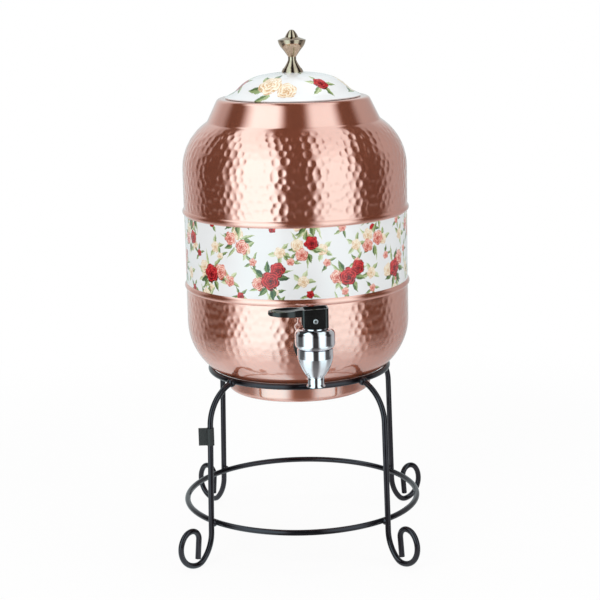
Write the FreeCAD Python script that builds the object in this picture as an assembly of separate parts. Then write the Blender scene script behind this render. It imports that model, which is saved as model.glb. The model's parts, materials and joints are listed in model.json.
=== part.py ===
# A copper water dispenser: a hammered copper vessel with a printed band, a printed lid with a
# turned knob, a self-closing tap with a thumb lever, and a stand bent from round rod.
# The origin is on the floor under the vessel's axis, +Z is up and the tap faces -Y.
# All sizes are in millimetres and all angles in degrees.

import FreeCAD, Part
import math
import os

V = FreeCAD.Vector
UP = V(0, 0, 1)

# Gaps between pieces
seat_gap = 0.3
running_gap = 0.05
weld_gap = 0.1
valve_gap = 0.15

# Stand
rod_diameter = 5.2
top_ring_inset = 20.1
top_ring_height = 164.6
lower_ring_height = 37.6
leg_drop_angle = 20.5
leg_lead = 5.5
leg_shoulder_radius = 36.8
leg_splay_angle = 1.7
foot_bend_radius = 33.0
foot_bend_angle = 42.7
foot_toe_radius = 11.2
scroll_radius = 18.0
scroll_angle = 129.0
scroll_top_radius = 10.9
scroll_eye_radius = 8.6
scroll_lean_angle = 5.7
scroll_tail = 18.0
leg_turn_angles = {"front_left": -52.5, "front_right": 36.4, "back_right": 122.7, "back_left": -142.9}
top_weld_radius = 4.2
lower_weld_radius = 3.8
tab_drop = 45.6
tab_length = 16.0
tab_reach = 10.6
tab_sheet = 0.8
tab_turn_angle = -96.0

# Vessel
sheet = 1.2
body_radius = 102.6
bowl_radius = 55.0
wall_height = 34.3
band_height = 68.4
band_inset = 0.2
bead_depth = 1.5
bead_lap = 2.9
upper_wall_height = 37.5
shoulder_radius = 51.3
collar_height = 64.0
collar_inset = 33.8
collar_angle = 26.0
collar_foot_fillet = 4.0
collar_top_fillet = 4.5
mouth_ledge = 12.8
mouth_lip = 6.0
mouth_fillet = 0.8
foot_inset = 36.1
foot_drop = 10.5
foot_fillet = 4.5
foot_ledge = 10.0

# Lid
lid_sheet = 1.0
lid_overlap = 5.7
crown_radius = 160.0
lid_shoulder_radius = 38.0
lid_slope_angle = 44.0
lid_slope = 4.0
lid_flare_radius = 14.0
lid_brim = 7.65
lid_brim_angle = 27.0
skirt_sheet = 1.0
skirt_gap = 1.0
skirt_depth = 8.0
knob_foot_radius = 9.8
knob_foot_sink = 1.7
knob_foot_height = 0.6
knob_cone_radius = 8.4
knob_cone_height = 2.6
knob_step = 0.4
knob_bell_height = 7.4
knob_neck_radius = 3.7
knob_neck_height = 2.9
knob_cup_height = 8.6
knob_cup_radius = 10.2
knob_rim_radius = 12.6
knob_rim_height = 5.8
knob_rim_edge = 0.7
knob_bevel_radius = 6.0
knob_bevel_height = 2.4
knob_cap_height = 4.7
knob_cap_radius = 3.3
knob_tip_height = 1.9
screw_radius = 2.0
screw_depth = 9.0
screw_head_radius = 3.8
screw_head_height = 2.6
screw_slot = 1.0
washer_radius = 6.5
washer_sheet = 1.0

# Tap
tap_standoff = 29.5
tap_below_seam = 37.8
shank_radius = 8.0
shank_bore_radius = 4.8
shank_inside = 18.6
gasket_radius = 15.2
gasket_proud = 3.9
flange_radius = 11.2
flange_thickness = 2.5
neck_radius = 9.0
inner_washer_radius = 14.0
inner_washer_inside = 8.1
nut_width = 24.0
nut_thickness = 7.0
barrel_rise = 5.4
barrel_radius = 15.4
barrel_straight = 7.8
barrel_height = 24.2
barrel_belly_radius = 12.9
barrel_tip_radius = 8.0
waist_radius = 7.3
waist_height = 2.6
spout_radius = 7.1
spout_height = 4.4
spout_lip_radius = 8.1
spout_lip_height = 2.3
spout_bore_radius = 5.2
thread_radius = 13.0
thread_height = 7.2
chamber_radius = 10.2
chamber_depth = 20.9
bonnet_radius = 17.2
bonnet_height = 18.15
bonnet_side = 12.4
bonnet_foot_radius = 14.2
bonnet_foot_height = 4.2
bonnet_top_radius = 10.4
bonnet_top_rim = 0.8
bonnet_roof = 2.6
bonnet_pocket_radius = 8.6
cup_radius = 8.2
cup_height = 8.4
cup_nose_radius = 4.4
cup_nose_height = 1.6
cup_floor = 3.0
skirt_wall = 1.0
skirt_flange = 1.2
stem_knob_radius = 4.8
stem_knob_height = 2.6
stem_radius = 3.5
tang_thickness = 5.0
tang_drop = 8.3
spring_radius = 6.2
spring_wire = 1.1
spring_turns = 5
pin_radius = 1.5
pin_head_radius = 2.15
pin_head_height = 0.7
pin_eye_radius = 0.9
pin_eye_depth = 1.2
pin_height = 6.4
press_angle = 25.0
cam_lift = 6.5
cam_angle = 27.0
slot_gap = 0.3
lever_back = 11.4
lever_front = 11.8
lever_width = 16.0
lever_corner = 3.0
lever_cheek = 1.0
lever_rise = 4.0
lever_reach = 39.8
nose_height = 7.4
nose_radius = 1.6
lever_top = 10.8
paddle_length = 28.4
paddle_width = 20.0
paddle_waist = 13.0
rim_width = 1.3
dish_depth = 2.2
dish_radius = 34.0
recess_depth = 1.8


def at(radius, height):
    return V(radius, 0, height)


def on_circle(centre, radius, degrees):
    angle = math.radians(degrees)
    return centre + V(math.cos(angle), 0, math.sin(angle)) * radius


def outline(start, *steps):
    """A closed wire: a step is a point that ends a line, or a pair (through, end) for an arc."""
    edges = []
    here = start
    for step in steps + (start,):
        if isinstance(step, tuple):
            through, end = step
            edges.append(Part.Arc(here, through, end).toShape())
        else:
            end = step
            edges.append(Part.LineSegment(here, end).toShape())
        here = end
    return Part.Wire(edges)


def turned(profile):
    return Part.Face(profile).revolve(V(0, 0, 0), UP, 360)


def disc(radius, bottom, top):
    return Part.makeCylinder(radius, top - bottom, V(0, 0, bottom))


def pipe(outer, inner, bottom, top):
    return disc(outer, bottom, top).cut(disc(inner, bottom, top))


def bar(radius, start, end, height):
    """A round bar along Y, from one distance out in front of the axis to a nearer one."""
    return Part.makeCylinder(radius, start - end, V(0, -start, height), V(0, 1, 0))


def rounded(shape, radius, edge_radius, edge_height):
    """Rounds the ring edges of a turned shape that lie at a radius and a height."""
    edges = []
    for edge in shape.Edges:
        curve = edge.Curve
        if not isinstance(curve, Part.Circle):
            continue
        if abs(curve.Radius - edge_radius) < 0.01 and abs(curve.Center.z - edge_height) < 0.01:
            edges.append(edge)
    return shape.makeFillet(radius, edges)


def spun(shape, degrees):
    copy = shape.copy()
    copy.rotate(V(0, 0, 0), UP, degrees)
    return copy


class Track:
    """A path in the XZ plane, made of straight runs and tangent bends."""

    def __init__(self, start, heading):
        self.here = start
        self.heading = heading
        self.edges = []

    def run(self, length):
        end = on_circle(self.here, length, self.heading)
        self.edges.append(Part.LineSegment(self.here, end).toShape())
        self.here = end

    def bend(self, radius, heading):
        side = 90 if heading > self.heading else -90
        centre = on_circle(self.here, radius, self.heading + side)
        middle = on_circle(centre, radius, (self.heading + heading) / 2 - side)
        end = on_circle(centre, radius, heading - side)
        self.edges.append(Part.Arc(self.here, middle, end).toShape())
        self.here = end
        self.heading = heading

    def rod(self, diameter):
        first = self.edges[0]
        start = first.valueAt(first.FirstParameter)
        along = first.tangentAt(first.FirstParameter)
        section = Part.Wire(Part.Circle(start, along, diameter / 2).toShape())
        return Part.Wire(self.edges).makePipeShell([section], True, False)


nodes = {}


# Stand: two rings of rod, welded to four legs that end in scrolled feet
rod_radius = rod_diameter / 2
top_ring_radius = body_radius - top_ring_inset
top_ring = Part.makeTorus(top_ring_radius, rod_radius, V(0, 0, top_ring_height))
nodes["top_ring"] = top_ring


def leg_track(straight):
    track = Track(at(top_ring_radius, top_ring_height), -leg_drop_angle)
    track.run(leg_lead)
    track.bend(leg_shoulder_radius, leg_splay_angle - 90)
    track.run(straight)
    track.bend(foot_bend_radius, -foot_bend_angle)
    track.bend(foot_toe_radius, 0)
    bottom = track.here
    track.bend(scroll_radius, scroll_angle)
    track.bend(scroll_top_radius, 180)
    track.bend(scroll_eye_radius, 270 + scroll_lean_angle)
    track.run(scroll_tail)
    return track, bottom


# The straight part is as long as it takes for the foot to reach the floor
trial_straight = 100.0
trial_bottom = leg_track(trial_straight)[1]
splay = math.radians(leg_splay_angle)
leg_straight = trial_straight + (trial_bottom.z - rod_radius) / math.cos(splay)
leg, leg_bottom = leg_track(leg_straight)
leg_rod = leg.rod(rod_diameter).cut(top_ring)

# The lower ring runs inside the legs, a rod's width in from the legs' straight parts
shoulder_end = leg.edges[1].valueAt(leg.edges[1].LastParameter)
leg_at_ring = shoulder_end.x + (shoulder_end.z - lower_ring_height) * math.tan(splay)
lower_ring_radius = leg_at_ring - (rod_diameter + weld_gap) / math.cos(splay)
lower_ring = Part.makeTorus(lower_ring_radius, rod_radius, V(0, 0, lower_ring_height))
nodes["lower_ring"] = lower_ring

top_joint = on_circle(at(top_ring_radius, top_ring_height), rod_radius, -leg_drop_angle)
top_weld = Part.makeSphere(top_weld_radius, top_joint).cut(top_ring).cut(leg_rod)
lower_joint = at((leg_at_ring + lower_ring_radius) / 2, lower_ring_height)
lower_weld = Part.makeSphere(lower_weld_radius, lower_joint).cut(lower_ring).cut(leg_rod)


def toward(turn):
    """The turn about the axis that carries a piece drawn along +X to a turn from the front."""
    return turn - 90


for name, turn in leg_turn_angles.items():
    nodes["leg_" + name] = spun(leg_rod, toward(turn))
nodes["top_welds"] = Part.makeCompound([spun(top_weld, toward(turn)) for turn in leg_turn_angles.values()])
nodes["lower_welds"] = Part.makeCompound([spun(lower_weld, toward(turn)) for turn in leg_turn_angles.values()])

# Leg tab: a bare strip folded round the front left leg, its two halves pressed together beside it
tab_height = top_ring_height - tab_drop
tab_out = shoulder_end.x + (shoulder_end.z - tab_height) * math.tan(splay)
tab_bottom = tab_height - tab_length / 2
tab_loop = pipe(rod_radius + tab_sheet, rod_radius, tab_bottom, tab_bottom + tab_length)
tab_flag = Part.makeBox(tab_reach, 2 * tab_sheet, tab_length, V(0, -tab_sheet, tab_bottom))
tab = spun(tab_loop.fuse(tab_flag.cut(disc(rod_radius, tab_bottom, tab_bottom + tab_length))), toward(tab_turn_angle))
tab_spot = on_circle(V(0, 0, 0), tab_out, toward(leg_turn_angles["front_left"]))
tab.translate(V(tab_spot.x, tab_spot.z, 0))
nodes["leg_tab"] = tab.cut(nodes["leg_front_left"]).removeSplitter()


# Vessel: a lower shell, a band and an upper shell, lapped inside two beads
bowl_axis = body_radius - bowl_radius
bowl_reach = bowl_radius + rod_radius + seat_gap
bowl_top = top_ring_height + math.sqrt(bowl_reach ** 2 - (top_ring_radius - bowl_axis) ** 2)
vessel_floor = bowl_top - bowl_radius
lower_seam = bowl_top + wall_height
upper_seam = lower_seam + band_height
band_radius = body_radius - band_inset


def lower_form(depth, top):
    """The solid inside the lower shell's surface, or that surface moved inward by a depth."""
    radius = bowl_radius - depth
    centre = at(bowl_axis, bowl_top)
    return turned(outline(
        at(0, bowl_top - radius),
        at(bowl_axis, bowl_top - radius),
        (on_circle(centre, radius, -45), at(bowl_axis + radius, bowl_top)),
        at(bowl_axis + radius, top),
        at(0, top),
    ))


def bead(seam, side):
    """A half-round bead that laps over the band's edge; side is +1 above the band and -1 below it."""
    inside = body_radius - sheet / 2
    return turned(outline(
        at(band_radius, seam - side * bead_lap),
        (at(body_radius + bead_depth, seam), at(body_radius, seam + side * bead_lap)),
        at(inside, seam + side * bead_lap),
        at(inside, seam),
        at(band_radius, seam),
    ))


# Lower shell: the bowl and wall, with a hole for the tap's shank
shank_height = lower_seam - tap_below_seam
shank_end = body_radius - shank_inside
gasket_face = body_radius + gasket_proud
outside = lower_form(0, lower_seam)
inside = lower_form(sheet, lower_seam)
lower_shell = outside.cut(inside).fuse(bead(lower_seam, -1)).removeSplitter()
nodes["lower_shell"] = lower_shell.cut(bar(shank_radius + seat_gap, gasket_face, shank_end, shank_height))

nodes["band_shell"] = pipe(band_radius, band_radius - sheet, lower_seam, upper_seam)

# Foot: a pressed ring soldered under the bowl
foot_radius = body_radius - foot_inset
foot_base = vessel_floor - foot_drop
foot_outside = rounded(disc(foot_radius, foot_base, bowl_top), foot_fillet, foot_radius, foot_base)
foot_wall = foot_radius - sheet
foot_inside = disc(foot_wall, foot_base + sheet, bowl_top)
foot_inside = rounded(foot_inside, foot_fillet - sheet, foot_wall, foot_base + sheet)
foot_hole = disc(foot_radius - foot_ledge, foot_base, bowl_top)
nodes["foot_ring"] = foot_outside.cut(foot_inside).cut(foot_hole).cut(outside)

# Upper shell: wall, shoulder and collar, spun from one sheet, with the mouth's edge turned down
shoulder_base = upper_seam + upper_wall_height
collar_top = shoulder_base + collar_height
collar_radius = body_radius - collar_inset
mouth_radius = collar_radius - mouth_ledge
shoulder_centre = at(body_radius - shoulder_radius, shoulder_base)
collar_edge = at(collar_radius, collar_top)
down_collar = on_circle(V(0, 0, 0), 1, collar_angle - 90)
from_shoulder = collar_edge - shoulder_centre
along = from_shoulder.dot(down_collar)
collar_slope = -along - math.sqrt(along ** 2 - from_shoulder.dot(from_shoulder) + shoulder_radius ** 2)
collar_foot = collar_edge + down_collar * collar_slope
rise_angle = math.degrees(math.atan2(collar_foot.z - shoulder_base, collar_foot.x - shoulder_centre.x))
upper_form = turned(outline(
    at(0, upper_seam),
    at(body_radius, upper_seam),
    at(body_radius, shoulder_base),
    (on_circle(shoulder_centre, shoulder_radius, rise_angle / 2), collar_foot),
    collar_edge,
    at(0, collar_top),
))
upper_form = rounded(upper_form, collar_foot_fillet, collar_foot.x, collar_foot.z)
upper_form = rounded(upper_form, collar_top_fillet, collar_radius, collar_top)
open_face = [face for face in upper_form.Faces if abs(face.CenterOfMass.z - upper_seam) < 0.01]
upper_shell = upper_form.makeThickness(open_face, -sheet, 0.001)
upper_shell = upper_shell.cut(disc(mouth_radius, upper_seam, collar_top))
upper_shell = upper_shell.fuse(pipe(mouth_radius + sheet, mouth_radius, collar_top - mouth_lip, collar_top))
upper_shell = rounded(upper_shell.removeSplitter(), mouth_fillet, mouth_radius, collar_top)
nodes["upper_shell"] = upper_shell.fuse(bead(upper_seam, 1)).removeSplitter()


# Lid: a domed sheet with a flared brim, a locating skirt inside it and a turned knob on top
lid_radius = mouth_radius + lid_overlap
slope = math.radians(lid_slope_angle)
brim = math.radians(lid_brim_angle)
lid_flare = lid_flare_radius * (math.sin(slope) - math.sin(brim))
crown_reach = lid_radius - lid_brim * math.cos(brim) - lid_flare - lid_slope * math.cos(slope)
crown_share = (crown_reach - lid_shoulder_radius * math.sin(slope)) / (crown_radius - lid_shoulder_radius)
crown_angle = math.degrees(math.asin(crown_share))


def lid_line(depth):
    """The lid's surface from the crown to the brim, or that surface moved inward by a depth."""
    track = Track(at(0, -depth), 0)
    track.bend(crown_radius - depth, -crown_angle)
    track.bend(lid_shoulder_radius - depth, -lid_slope_angle)
    track.run(lid_slope)
    track.bend(lid_flare_radius + depth, -lid_brim_angle)
    track.run(lid_brim)
    return track


lid_outer = lid_line(0)
lid_inner = lid_line(lid_sheet)
crown = collar_top + seat_gap - lid_inner.here.z


def under_line(track, bottom):
    """The solid under a line of the lid, down to a height below the crown."""
    end = track.here
    edges = track.edges + [
        Part.LineSegment(end, at(end.x, bottom)).toShape(),
        Part.LineSegment(at(end.x, bottom), at(0, bottom)).toShape(),
        Part.LineSegment(at(0, bottom), track.edges[0].valueAt(track.edges[0].FirstParameter)).toShape(),
    ]
    solid = turned(Part.Wire(edges))
    solid.translate(V(0, 0, crown))
    return solid


lid_rim = Part.LineSegment(lid_outer.here, lid_inner.here).toShape()
lid_axis = Part.LineSegment(at(0, -lid_sheet), at(0, 0)).toShape()
lid_sheet_wire = Part.Wire(Part.__sortEdges__(lid_outer.edges + [lid_rim, lid_axis] + lid_inner.edges))
lid_dome = turned(lid_sheet_wire)
lid_dome.translate(V(0, 0, crown))
nodes["lid_dome"] = lid_dome.cut(disc(screw_radius, collar_top, crown + screw_depth))

lid_deep = -2 * (crown - collar_top)
skirt_radius = mouth_radius - skirt_gap
skirt = pipe(skirt_radius, skirt_radius - skirt_sheet, collar_top - skirt_depth, crown)
nodes["lid_skirt"] = skirt.common(under_line(lid_inner, lid_deep))

# The knob's foot follows the dome, and its tip is a ball cap whose centre lies on the axis
foot_top = crown + knob_foot_height
bell_foot = foot_top + knob_cone_height
bell_top = bell_foot + knob_bell_height
cup_base = bell_top + knob_neck_height
cup_top = cup_base + knob_cup_height
rim_top = cup_top + knob_rim_height
bevel_base = rim_top + knob_rim_edge
cap_base = bevel_base + knob_bevel_height
cap_top = cap_base + knob_cap_height
tip_top = at(0, cap_top + knob_tip_height)
tip_radius = (knob_cap_radius ** 2 + knob_tip_height ** 2) / (2 * knob_tip_height)
tip_centre = tip_top - UP * tip_radius
tip_start = math.degrees(math.atan2(tip_radius - knob_tip_height, knob_cap_radius))
bell_radius = knob_cone_radius - knob_step


def between(start, end, across, up):
    """A point a share of the way across and a share of the way up from one point to another."""
    return at(start.x + (end.x - start.x) * across, start.z + (end.z - start.z) * up)


bell_start = at(bell_radius, bell_foot)
bell_end = at(knob_neck_radius, bell_top)
cup_start = at(knob_neck_radius, cup_base)
cup_end = at(knob_cup_radius, cup_top)
rim_end = at(knob_rim_radius, rim_top)
cap_start = at(knob_bevel_radius, cap_base)
cap_end = at(knob_cap_radius, cap_top)
knob = turned(outline(
    at(0, crown - knob_foot_sink),
    at(knob_foot_radius, crown - knob_foot_sink),
    at(knob_foot_radius, foot_top),
    at(knob_cone_radius, bell_foot),
    bell_start,
    (between(bell_start, bell_end, 0.56, 0.48), bell_end),
    cup_start,
    (between(cup_start, cup_end, 0.46, 0.5), cup_end),
    (between(cup_end, rim_end, 0.66, 0.5), rim_end),
    at(knob_rim_radius, bevel_base),
    cap_start,
    (between(cap_start, cap_end, 0.43, 0.52), cap_end),
    (on_circle(tip_centre, tip_radius, (tip_start + 90) / 2), tip_top),
))
screw_base = crown - lid_sheet - washer_sheet
screw = disc(screw_radius, screw_base, crown + screw_depth)
nodes["lid_knob"] = knob.cut(under_line(lid_outer, lid_deep)).cut(screw)
nodes["knob_washer"] = pipe(washer_radius, screw_radius, screw_base, crown - lid_sheet).cut(nodes["lid_dome"])
screw_head = disc(screw_head_radius, screw_base - screw_head_height, screw_base)
screw_head = rounded(screw_head, screw_head_height / 3, screw_head_radius, screw_base - screw_head_height)
drive_slot = Part.makeBox(
    2 * screw_head_radius,
    screw_slot,
    screw_slot,
    V(-screw_head_radius, -screw_slot / 2, screw_base - screw_head_height),
)
nodes["knob_screw"] = screw.fuse(screw_head).cut(drive_slot).removeSplitter()


# Tap: pieces that turn about the stem's axis are drawn on the vessel's axis and moved out to it
tap_reach = gasket_face + tap_standoff
stem_axis = V(0, -tap_reach, 0)
barrel_top = shank_height + barrel_rise
barrel_tip = barrel_top - barrel_height
waist_bottom = barrel_tip - waist_height
lip_top = waist_bottom - spout_height
spout_end = lip_top - spout_lip_height
thread_top = barrel_top + thread_height
chamber_floor = thread_top - chamber_depth
bonnet_top = barrel_top + bonnet_height
bonnet_ceiling = bonnet_top - bonnet_roof
belly_height = (barrel_top - barrel_straight + barrel_tip) / 2


def on_stem(shape):
    copy = shape.copy()
    copy.translate(stem_axis)
    return copy


# Tap body: egg-shaped barrel with the spout below it, and the neck, flange and shank behind it
barrel = turned(outline(
    at(0, spout_end),
    at(spout_lip_radius, spout_end),
    at(spout_lip_radius, spout_end + spout_lip_height / 4),
    (at((spout_radius + spout_lip_radius) / 2, spout_end + spout_lip_height * 0.6), at(spout_radius, lip_top)),
    at(spout_radius, waist_bottom),
    at(barrel_tip_radius, waist_bottom),
    (at(waist_radius, waist_bottom + waist_height / 2), at(barrel_tip_radius, barrel_tip)),
    (at(barrel_belly_radius, belly_height), at(barrel_radius, barrel_top - barrel_straight)),
    at(barrel_radius, barrel_top),
    at(thread_radius, barrel_top),
    at(thread_radius, thread_top),
    at(0, thread_top),
))
neck = bar(neck_radius, tap_reach, gasket_face, shank_height)
bonnet_space = on_stem(disc(bonnet_radius + seat_gap, barrel_top, bonnet_top))
flange = bar(flange_radius, gasket_face + flange_thickness, gasket_face, shank_height)
shank = bar(shank_radius, gasket_face, shank_end, shank_height)
tap_body = on_stem(barrel).fuse([neck.fuse(flange).cut(bonnet_space), shank])
tap_body = tap_body.cut(on_stem(disc(chamber_radius, chamber_floor, thread_top)))
tap_body = tap_body.cut(on_stem(disc(spout_bore_radius, spout_end, chamber_floor)))
tap_body = tap_body.cut(bar(shank_bore_radius, tap_reach, shank_end, shank_height))
nodes["tap_body"] = tap_body.removeSplitter()

# Bonnet: the cap screwed over the barrel's thread, with a hole that guides the stem
bonnet_side_top = barrel_top + bonnet_side
bonnet_rim_base = bonnet_top - bonnet_top_rim
bonnet_foot = at(bonnet_foot_radius, barrel_top)
bonnet_side_foot = at(bonnet_radius, barrel_top + bonnet_foot_height)
bonnet_shoulder = at(bonnet_radius, bonnet_side_top)
bonnet_rim = at(bonnet_top_radius, bonnet_rim_base)
bonnet = turned(outline(
    at(0, barrel_top),
    bonnet_foot,
    (between(bonnet_foot, bonnet_side_foot, 0.64, 0.32), bonnet_side_foot),
    bonnet_shoulder,
    (between(bonnet_shoulder, bonnet_rim, 0.25, 0.72), bonnet_rim),
    at(bonnet_top_radius, bonnet_top),
    at(0, bonnet_top),
))
bonnet = bonnet.cut(disc(thread_radius, barrel_top, thread_top + skirt_flange))
bonnet = bonnet.cut(disc(bonnet_pocket_radius, thread_top, bonnet_ceiling))
bonnet = bonnet.cut(disc(stem_radius + running_gap, bonnet_ceiling, bonnet_top))
nodes["tap_bonnet"] = on_stem(bonnet)

# Seals on the vessel's wall, shaped to it, and the nut that pulls the tap against them
inner_washer_face = body_radius - inner_washer_inside
gasket = bar(gasket_radius, gasket_face, shank_end, shank_height)
nodes["outer_gasket"] = gasket.cut(outside).cut(shank)
inner_washer = bar(inner_washer_radius, gasket_face, inner_washer_face, shank_height)
nodes["inner_washer"] = inner_washer.common(inside).cut(shank)
nut_points = [on_circle(V(0, 0, 0), nut_width / math.sqrt(3), 60 * corner + 30) for corner in range(6)]
nut_face = Part.Face(Part.makePolygon(nut_points + nut_points[:1]))
nut = nut_face.extrude(V(0, nut_thickness, 0))
nut.translate(V(0, -inner_washer_face, shank_height))
nodes["back_nut"] = nut.cut(shank)

# Seat cup: the silicone plug on the stem's foot; the skirt above it flexes and is clamped by the bonnet
cup_bottom = chamber_floor + valve_gap
cup_top_face = cup_bottom + cup_height
knob_bottom = cup_bottom + cup_floor
knob_top = knob_bottom + stem_knob_height
cup = disc(cup_radius, cup_bottom, cup_top_face)
cup = cup.fuse(disc(cup_nose_radius, cup_bottom - cup_nose_height, cup_bottom))
cup = cup.cut(disc(stem_knob_radius + running_gap, knob_bottom - running_gap, knob_top + running_gap))
cup = cup.cut(disc(stem_radius + running_gap, knob_top, cup_top_face))
nodes["seat_cup"] = on_stem(cup)
cup_skirt = pipe(cup_radius, cup_radius - skirt_wall, cup_top_face, thread_top)
cup_skirt = cup_skirt.fuse(pipe(thread_radius, cup_radius - skirt_wall, thread_top, thread_top + skirt_flange))
nodes["seat_skirt"] = on_stem(cup_skirt.removeSplitter())

# Spring: closes the tap by pressing the cup down from the bonnet's ceiling
spring_bottom = cup_top_face + running_gap + spring_wire / 2
spring_top = bonnet_ceiling - running_gap - spring_wire / 2
spring_pitch = (spring_top - spring_bottom) / spring_turns


def arc_from(start, along, end):
    """An arc that leaves a point along a direction and ends at another point."""
    chord = end - start
    toward_end = chord / chord.Length
    bulge = along - toward_end * along.dot(toward_end)
    rise = chord.Length / 2 * math.tan(along.getAngle(toward_end) / 2)
    return Part.Arc(start, (start + end) / 2 + bulge / bulge.Length * rise, end).toShape()


def flat_vector(x, y, degrees):
    angle = math.radians(degrees)
    return V(x * math.cos(angle) - y * math.sin(angle), x * math.sin(angle) + y * math.cos(angle), 0)


def spring_point(quarter):
    return V(0, 0, spring_bottom + spring_pitch * quarter / 4) + flat_vector(spring_radius, 0, 90 * quarter)


def spring_along(quarter):
    direction = flat_vector(0, spring_radius, 90 * quarter) + UP * (spring_pitch / (2 * math.pi))
    return direction / direction.Length


def coil_quarter(quarter):
    """Two tangent arcs that follow a quarter turn of the coil."""
    start = spring_point(quarter)
    end = spring_point(quarter + 1)
    leaving = spring_along(quarter)
    arriving = spring_along(quarter + 1)
    chord = end - start
    both = chord.dot(leaving + arriving)
    spread = 2 * (1 - leaving.dot(arriving))
    reach = (math.sqrt(both ** 2 + spread * chord.dot(chord)) - both) / spread
    middle = (start + end + (leaving - arriving) * reach) / 2
    return [arc_from(start, leaving, middle), arc_from(end, arriving * -1, middle)]


spring_edges = []
for quarter in range(4 * spring_turns):
    spring_edges += coil_quarter(quarter)
spring_section = Part.Wire(Part.Circle(spring_point(0), spring_along(0), spring_wire / 2).toShape())
spring = Part.Wire(Part.__sortEdges__(spring_edges)).makePipeShell([spring_section], True, False)
nodes["valve_spring"] = on_stem(spring)

# Stem: a rod with a knob held in the cup, flattened at the top into an eye for the pin
pin_level = bonnet_top + valve_gap + pin_height
stem = turned(outline(
    at(0, knob_bottom),
    at(stem_knob_radius, knob_bottom),
    at(stem_knob_radius, knob_top),
    at(stem_radius, knob_top),
    at(stem_radius, pin_level),
    (on_circle(at(0, pin_level), stem_radius, 45), at(0, pin_level + stem_radius)),
))
cheek = Part.makeBox(2 * stem_radius, stem_radius, tang_drop + stem_radius)
cheek.translate(V(-stem_radius, tang_thickness / 2, pin_level - tang_drop))
stem = stem.cut([cheek, spun(cheek, 180)])
eye = Part.makeCylinder(pin_radius + running_gap, tang_thickness, V(0, -tang_thickness / 2, pin_level), V(0, 1, 0))
nodes["valve_stem"] = on_stem(stem.cut(eye).removeSplitter())


# Lever: a thumb paddle to the left of a block whose lower corner is a cam that bears on the bonnet
def cam_point(degrees):
    """The cam's profile lifts the pin by cam_lift for each radian of press."""
    turn = math.radians(degrees)
    reach = pin_height + cam_lift * turn
    across = -reach * math.sin(turn) - cam_lift * math.cos(turn)
    down = -reach * math.cos(turn) + cam_lift * math.sin(turn)
    return at(across, down)


cam_curve = Part.BSplineCurve()
cam_curve.interpolate([cam_point(cam_angle * share / 3) for share in range(4)])
cam_end = cam_point(cam_angle)
cheek_top = at(-lever_front, -lever_cheek)
nose_under = at(nose_radius - lever_reach, nose_height - nose_radius)
nose_over = at(nose_radius - lever_reach, nose_height + nose_radius)
top_slope = (lever_top - nose_over.z) / (lever_back - nose_over.x)


def top_height(across):
    return nose_over.z + (across - nose_over.x) * top_slope


side_edges = [
    Part.LineSegment(at(lever_back, -pin_height), cam_point(0)).toShape(),
    cam_curve.toShape(),
    Part.Arc(cam_end, between(cam_end, cheek_top, 0.72, 0.45), cheek_top).toShape(),
    Part.LineSegment(cheek_top, at(-lever_front, lever_rise)).toShape(),
    Part.LineSegment(at(-lever_front, lever_rise), nose_under).toShape(),
    Part.Arc(nose_under, at(-lever_reach, nose_height), nose_over).toShape(),
    Part.LineSegment(nose_over, at(lever_back, lever_top)).toShape(),
    Part.LineSegment(at(lever_back, lever_top), at(lever_back, -pin_height)).toShape(),
]
lever_side = Part.Face(Part.Wire(side_edges)).extrude(V(0, paddle_width, 0))
lever_side.translate(V(0, -paddle_width / 2, 0))

lever_low = -2 * pin_height
lever_tall = 4 * pin_height + lever_top


def block(front, back, width, corner, bottom):
    """An upright block with its four upright edges rounded."""
    shape = Part.makeBox(front + back, width, lever_tall, V(-front, -width / 2, bottom))
    upright = [edge for edge in shape.Edges if abs(edge.tangentAt(edge.FirstParameter).z) > 0.9]
    return shape.makeFillet(corner, upright)


def paddle(rim, bottom):
    """An upright prism over the paddle's oval, a rim's width inside its edge."""
    centre = V(paddle_length / 2 - lever_reach, 0, bottom)
    oval = Part.Ellipse(centre, paddle_length / 2 - rim, paddle_width / 2 - rim)
    return Part.Face(Part.Wire(oval.toShape())).extrude(V(0, 0, lever_tall))


paddle_middle = paddle_length / 2 - lever_reach
waist = Part.makeBox(-paddle_middle, paddle_waist, lever_tall, V(paddle_middle, -paddle_waist / 2, lever_low))
plan = block(lever_front, lever_back, lever_width, lever_corner, lever_low)
plan = plan.fuse([waist, paddle(0, lever_low)])
lever = lever_side.common(plan)
dish_ball = Part.makeSphere(dish_radius, at(paddle_middle, top_height(paddle_middle) + dish_radius - dish_depth))
lever = lever.cut(dish_ball.common(paddle(rim_width, 0)))
recess = block(
    lever_front - 2 * rim_width,
    lever_back - rim_width,
    lever_width - 2 * rim_width,
    lever_corner - rim_width,
    top_height(0) - recess_depth,
)
lever = lever.cut(recess)

# The slot leaves room for the tang while the lever tips, and the pin crosses both of its walls
press = math.radians(press_angle)
slot_front = (stem_radius + pin_height * math.sin(press)) / math.cos(press) + slot_gap
slot_width = tang_thickness + 2 * slot_gap
slot_top = stem_radius + slot_gap
slot = Part.makeBox(slot_front, slot_width, pin_height, V(-slot_front, -slot_width / 2, -pin_height))
slot_round = Part.makeCylinder(slot_top, slot_width, V(0, -slot_width / 2, 0), V(0, 1, 0))
slot_back = Part.makeBox(slot_top, slot_width, pin_height, V(0, -slot_width / 2, -pin_height))
lever = lever.cut(slot).cut(slot_round).cut(slot_back)
pin_length = lever_width + 2 * pin_head_height
pin = Part.makeCylinder(pin_radius, pin_length, V(0, -pin_length / 2, 0), V(0, 1, 0))
lever = lever.cut(pin)
lever.translate(V(0, 0, pin_level))
nodes["tap_lever"] = on_stem(lever.removeSplitter())

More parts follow.
